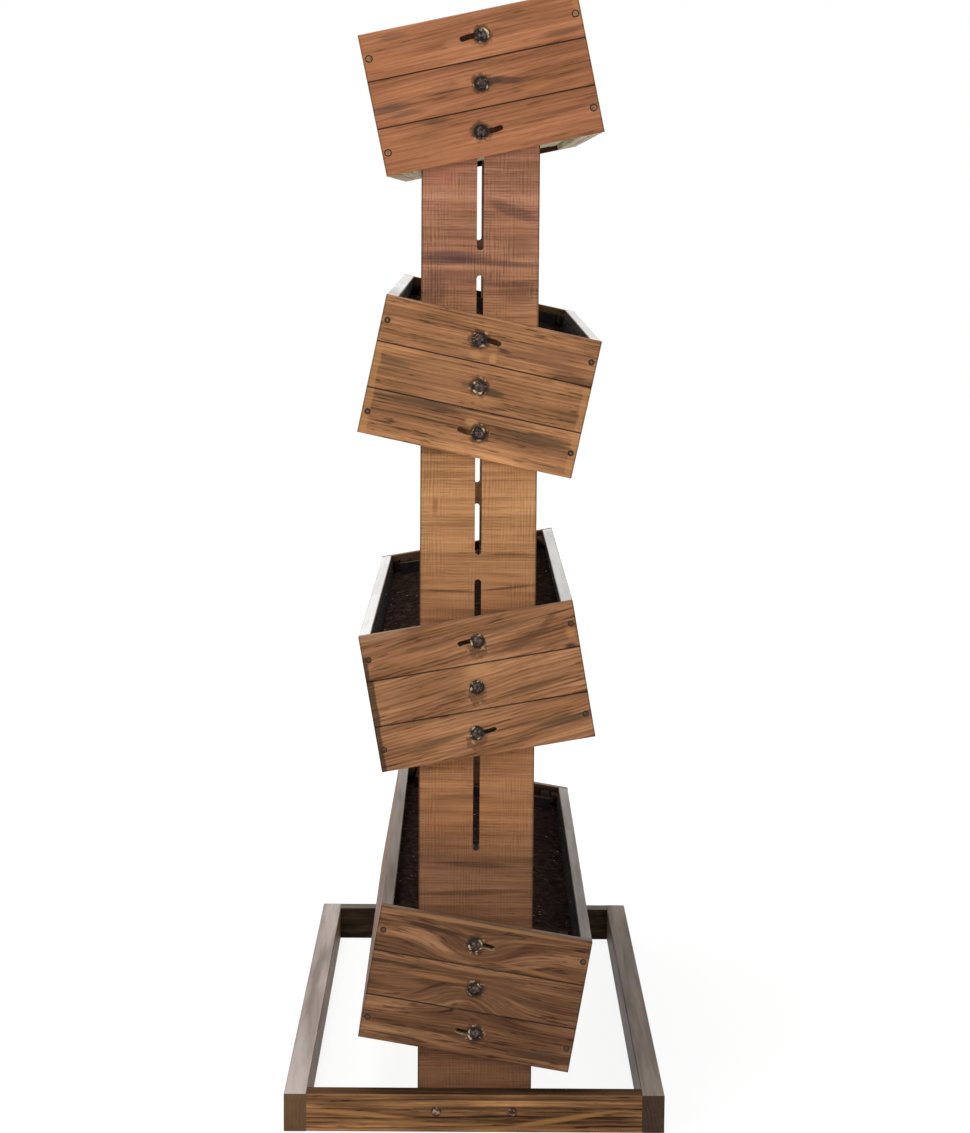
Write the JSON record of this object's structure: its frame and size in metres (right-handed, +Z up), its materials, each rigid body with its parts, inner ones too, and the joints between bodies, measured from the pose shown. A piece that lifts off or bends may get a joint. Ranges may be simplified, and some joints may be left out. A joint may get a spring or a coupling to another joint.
{
  "type": "vertical raised garden bed",
  "caption": "Vertical raised garden bed: long wooden planting troughs one above the other, sliding and tilting on slotted posts over a timber base frame.",
  "frame": {"origin": "on the ground under the middle of the base frame", "axes": "+X to the right seen from the front end panel, +Y from the front post to the rear post, +Z up"},
  "size_m": [0.61, 1.2288, 1.8013],
  "materials": {
    "stained_wood": "satin",
    "frame_wood": "matte",
    "post_wood": "matte",
    "raw_wood": "matte",
    "liner": "matte",
    "soil": "matte",
    "steel": "satin"
  },
  "bodies": {
    "frame": {"front_rail": "frame_wood", "rear_rail": "frame_wood", "left_rail": "frame_wood", "right_rail": "frame_wood", "front_post": "post_wood", "rear_post": "post_wood", "base_bolts": "steel", "base_nuts": "steel", "tier4_bolts": "steel", "tier4_nuts": "steel"},
    "tier1_slider": {"tier1_bolts": "steel", "tier1_nuts": "steel"},
    "tier2_slider": {"tier2_bolts": "steel", "tier2_nuts": "steel"},
    "tier3_slider": {"tier3_bolts": "steel", "tier3_nuts": "steel"},
    "tier1_trough": {"tier1_front_panel": "stained_wood", "tier1_rear_panel": "stained_wood", "tier1_left_wall": "stained_wood", "tier1_right_wall": "stained_wood", "tier1_floor": "raw_wood", "tier1_ledgers": "raw_wood", "tier1_cleats": "raw_wood", "tier1_post_boxes": "stained_wood", "tier1_liner": "liner", "tier1_soil": "soil"},
    "tier2_trough": {"tier2_front_panel": "stained_wood", "tier2_rear_panel": "stained_wood", "tier2_left_wall": "stained_wood", "tier2_right_wall": "stained_wood", "tier2_floor": "raw_wood", "tier2_ledgers": "raw_wood", "tier2_cleats": "raw_wood", "tier2_post_boxes": "stained_wood", "tier2_liner": "liner", "tier2_soil": "soil"},
    "tier3_trough": {"tier3_front_panel": "stained_wood", "tier3_rear_panel": "stained_wood", "tier3_left_wall": "stained_wood", "tier3_right_wall": "stained_wood", "tier3_floor": "raw_wood", "tier3_ledgers": "raw_wood", "tier3_cleats": "raw_wood", "tier3_post_boxes": "stained_wood", "tier3_liner": "liner", "tier3_soil": "soil"},
    "tier4_trough": {"tier4_front_panel": "stained_wood", "tier4_rear_panel": "stained_wood", "tier4_left_wall": "stained_wood", "tier4_right_wall": "stained_wood", "tier4_floor": "raw_wood", "tier4_ledgers": "raw_wood", "tier4_cleats": "raw_wood", "tier4_post_boxes": "stained_wood", "tier4_liner": "liner", "tier4_soil": "soil"}
  },
  "joints": [
    {"name": "tier1_height", "type": "slide", "parent": "frame", "child": "tier1_slider", "axis": [0, 0, 1], "range_m": [-0.085, 0]},
    {"name": "tier2_height", "type": "slide", "parent": "frame", "child": "tier2_slider", "axis": [0, 0, 1], "range_m": [-0.092, 0.09]},
    {"name": "tier3_height", "type": "slide", "parent": "frame", "child": "tier3_slider", "axis": [0, 0, 1], "range_m": [-0.165, 0.09]},
    {"name": "tier1_tilt", "type": "hinge", "parent": "tier1_slider", "child": "tier1_trough", "pos_m": [0, 0, 1.65886], "axis": [0, 1, 0], "range_deg": [0, 24]},
    {"name": "tier2_tilt", "type": "hinge", "parent": "tier2_slider", "child": "tier2_trough", "pos_m": [0, 0, 1.19396], "axis": [0, 1, 0], "range_deg": [-24, 0]},
    {"name": "tier3_tilt", "type": "hinge", "parent": "tier3_slider", "child": "tier3_trough", "pos_m": [0, 0, 0.70998], "axis": [0, 0.9998, -0.0192], "range_deg": [-1.92, 22.08]},
    {"name": "tier4_tilt", "type": "hinge", "parent": "frame", "child": "tier4_trough", "pos_m": [0, 0, 0.23066], "axis": [0, 1, 0], "range_deg": [-21.72, 2.28]}
  ]
}
